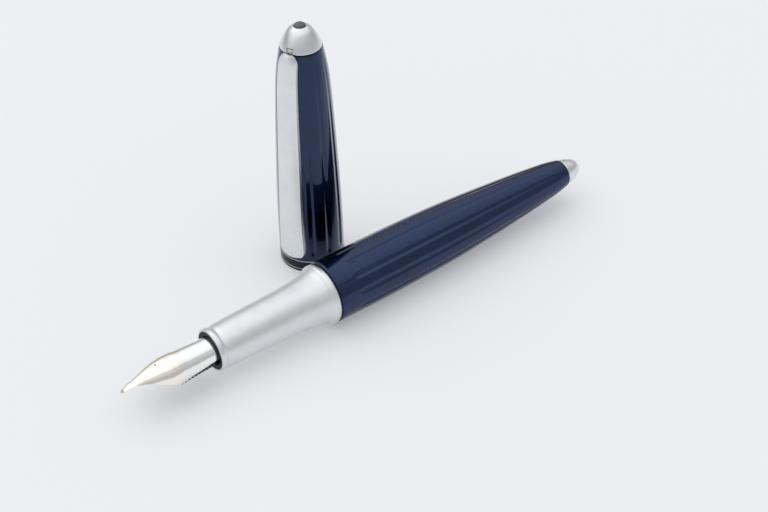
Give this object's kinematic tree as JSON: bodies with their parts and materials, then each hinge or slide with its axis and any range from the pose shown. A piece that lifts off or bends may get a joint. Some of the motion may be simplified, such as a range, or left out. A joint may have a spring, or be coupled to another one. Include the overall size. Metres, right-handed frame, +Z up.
{
  "type": "fountain pen",
  "caption": "Fountain pen lying uncapped, with fluted barrel, waisted metal grip and piston converter inside, and its clipped cap standing upright beside it.",
  "frame": {"origin": "centre of the bounding box on the table that the pen lies on and the cap stands on", "axes": "+X along the pen from nib to tail, +Y from the pen to the cap that stands behind it, +Z up"},
  "size_m": [0.1284, 0.0356, 0.0625],
  "materials": {
    "nib_metal": "polished steel with pale gold plating on the tines",
    "black_plastic": "satin moulded",
    "satin_silver": "fine satin, bead blasted and anodised",
    "black_rubber": "smooth",
    "navy_barrel": "navy lacquer, satin gloss",
    "brass": "turned",
    "clear_plastic": "clear moulded",
    "polished_steel": "polished and knurled",
    "navy_cap": "navy lacquer, high gloss",
    "grey_plastic": "moulded",
    "spring_steel": "rolled",
    "dark_enamel": "smooth enamel"
  },
  "bodies": {
    "grip": {"grip_section": "satin_silver", "section_liner": "black_plastic"},
    "nib_collar": {"nib_collar": "black_plastic"},
    "nib_unit": {"nib": "nib_metal", "feed": "black_plastic"},
    "seal_ring": {"barrel_seal_ring": "black_rubber"},
    "barrel": {"barrel_shell": "navy_barrel", "barrel_bushing": "brass", "tail_finial": "satin_silver", "tail_nut": "brass"},
    "converter": {"converter_tube": "clear_plastic", "converter_ferrule": "polished_steel", "converter_guide": "black_plastic"},
    "converter_knob": {"converter_knob": "polished_steel", "converter_drive_nut": "brass"},
    "piston": {"piston_rod": "black_plastic", "piston_seal": "black_rubber"},
    "cap": {"cap_shell": "navy_cap", "cap_liner": "grey_plastic", "cap_snap_ring": "spring_steel", "clip_carrier": "brass", "clip_pin": "spring_steel", "clip_spring": "spring_steel", "cap_finial": "satin_silver", "finial_inlay": "dark_enamel"},
    "clip": {"clip": "satin_silver"}
  },
  "joints": [
    {"name": "nib_unit_turn", "type": "hinge", "parent": "grip", "child": "nib_collar", "pos_m": [-0.03465, -0.0106, 0.00725], "axis": [1, 0, 0], "range_deg": [0, 1440]},
    {"name": "nib_pull", "type": "slide", "parent": "nib_collar", "child": "nib_unit", "axis": [-1, 0, 0], "range_m": [0, 0.016]},
    {"name": "barrel_turn", "type": "hinge", "parent": "grip", "child": "seal_ring", "pos_m": [-0.0121, -0.0106, 0.00725], "axis": [1, 0, 0], "range_deg": [0, 1620]},
    {"name": "barrel_pull", "type": "slide", "parent": "seal_ring", "child": "barrel", "axis": [1, 0, 0], "range_m": [0, 0.07]},
    {"name": "converter_unplug", "type": "slide", "parent": "grip", "child": "converter", "axis": [1, 0, 0], "range_m": [0, 0.005]},
    {"name": "converter_knob_turn", "type": "hinge", "parent": "converter", "child": "converter_knob", "pos_m": [0.03475, -0.0106, 0.00725], "axis": [1, 0, 0], "range_deg": [0, 1440]},
    {"name": "piston_travel", "type": "slide", "parent": "converter", "child": "piston", "axis": [1, 0, 0], "range_m": [0, 0.016]},
    {"name": "cap_lift", "type": "slide", "parent": "grip", "child": "cap", "axis": [0, 0, 1], "range_m": [0, 0.08]},
    {"name": "clip_swing", "type": "hinge", "parent": "cap", "child": "clip", "pos_m": [-0.00293, 0.00918, 0.0549], "axis": [-0.3746, 0.9272, 0], "range_deg": [0, 6], "stiffness_Nm_per_rad": 0.3, "springref_deg": -8.59}
  ],
  "couplings": [
    {"joint": "converter_knob_turn", "follows": "piston_travel", "rad_per_m": 1570.8}
  ]
}
